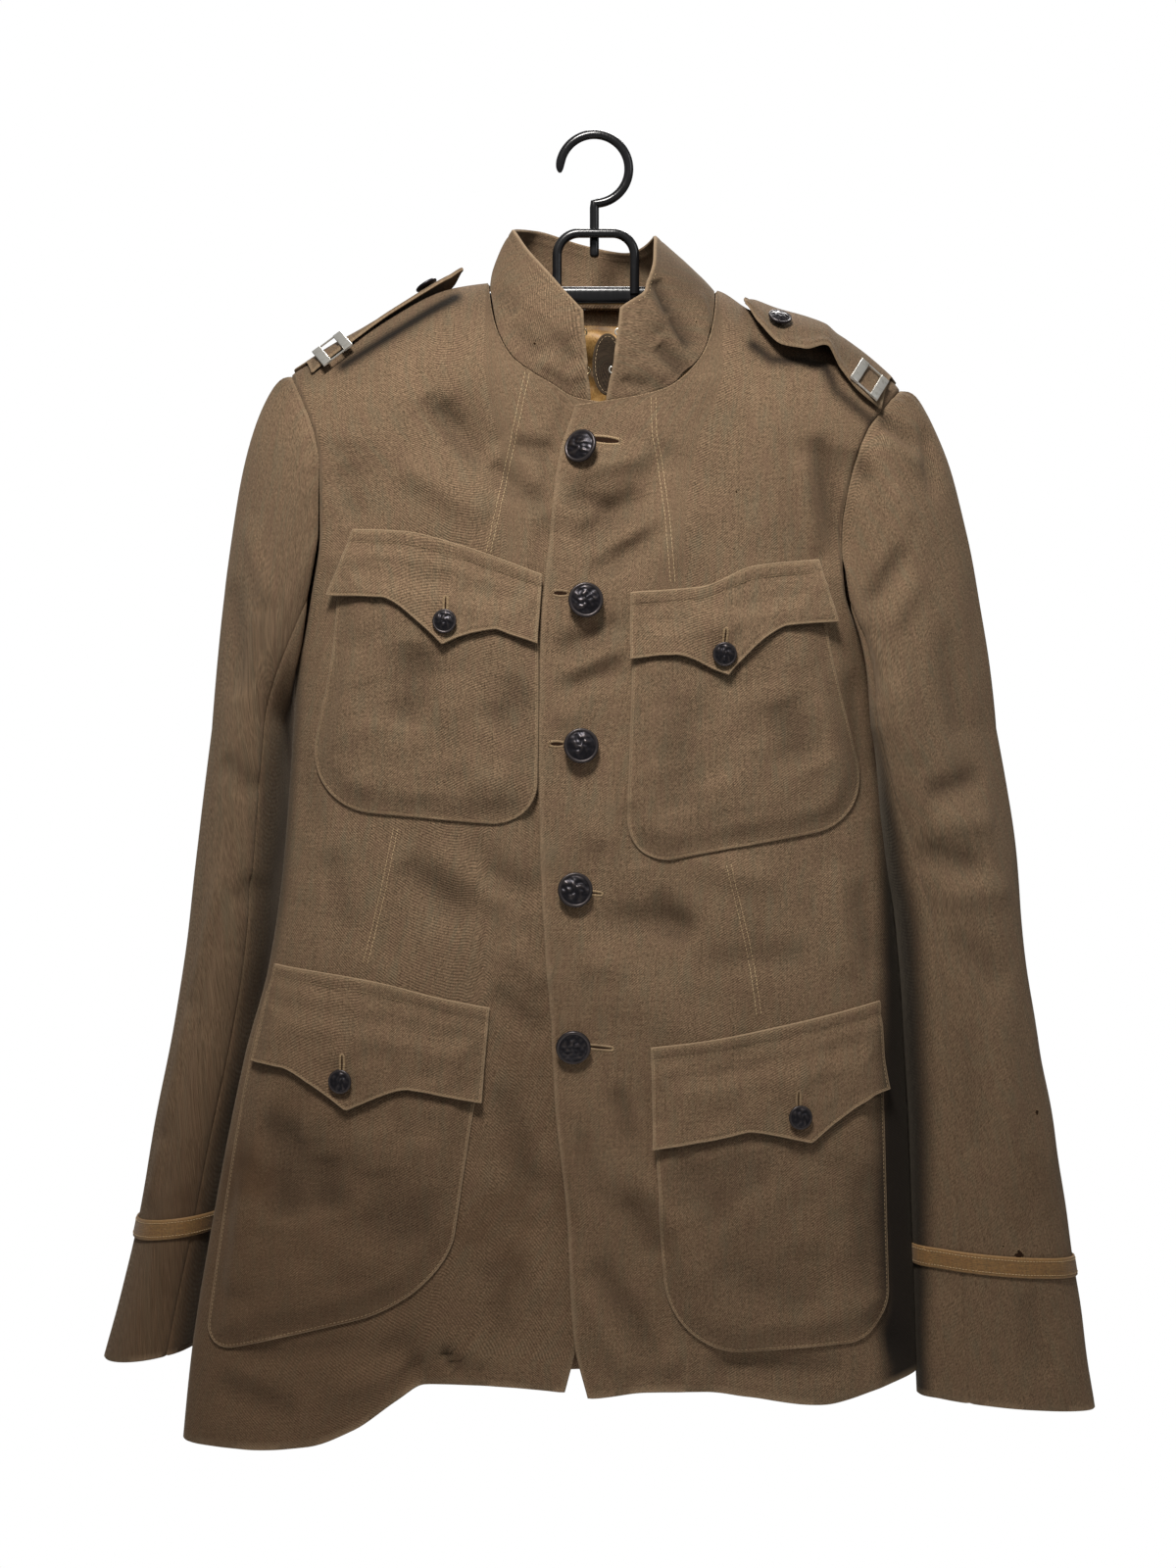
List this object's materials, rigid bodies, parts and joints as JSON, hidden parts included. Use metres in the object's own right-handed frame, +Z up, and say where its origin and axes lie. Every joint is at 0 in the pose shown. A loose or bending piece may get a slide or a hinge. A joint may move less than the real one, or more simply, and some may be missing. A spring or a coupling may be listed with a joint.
{
  "type": "military service coat on a hanger",
  "caption": "Stand-collar wool military service coat with buttoned patch pockets, shoulder straps and cuff braid, hanging open at the neck on a black plastic hanger.",
  "frame": {"origin": "inside top of the hanger's hook, where it hangs on a rail or nail", "axes": "+Z up; -Y is the coat's front; +X is to the viewer's right when looking at the front"},
  "size_m": [0.674, 0.1721, 0.8845],
  "materials": {
    "wool": "napped twill",
    "lining": "smooth",
    "braid": "woven braid",
    "bronze": "dark, worn",
    "silver": "polished",
    "plastic": "gloss"
  },
  "bodies": {
    "root": {"back": "wool", "button_1": "bronze", "button_2": "bronze", "button_3": "bronze", "button_4": "bronze", "button_5": "bronze", "button_flap_lower_left": "bronze", "button_flap_lower_right": "bronze", "button_flap_upper_left": "bronze", "button_flap_upper_right": "bronze", "button_strap_left": "bronze", "button_strap_right": "bronze", "collar": "wool", "collar_eye_1": "silver", "collar_eye_2": "silver", "collar_hook_1": "silver", "collar_hook_2": "silver", "collar_tab": "wool", "cuff_braid_left": "braid", "cuff_braid_right": "braid", "flap_lower_left": "wool", "flap_lower_right": "wool", "flap_upper_left": "wool", "flap_upper_right": "wool", "front_left": "wool", "front_right": "wool", "hanger_bar": "plastic", "hanger_hook": "plastic", "neck_lining": "lining", "pocket_lower_left": "wool", "pocket_lower_right": "wool", "pocket_upper_left": "wool", "pocket_upper_right": "wool", "rank_bars_left": "silver", "rank_bars_right": "silver", "sleeve_left_under": "wool", "sleeve_left_upper": "wool", "sleeve_right_under": "wool", "sleeve_right_upper": "wool", "strap_left": "wool", "strap_right": "wool"}
  },
  "joints": []
}
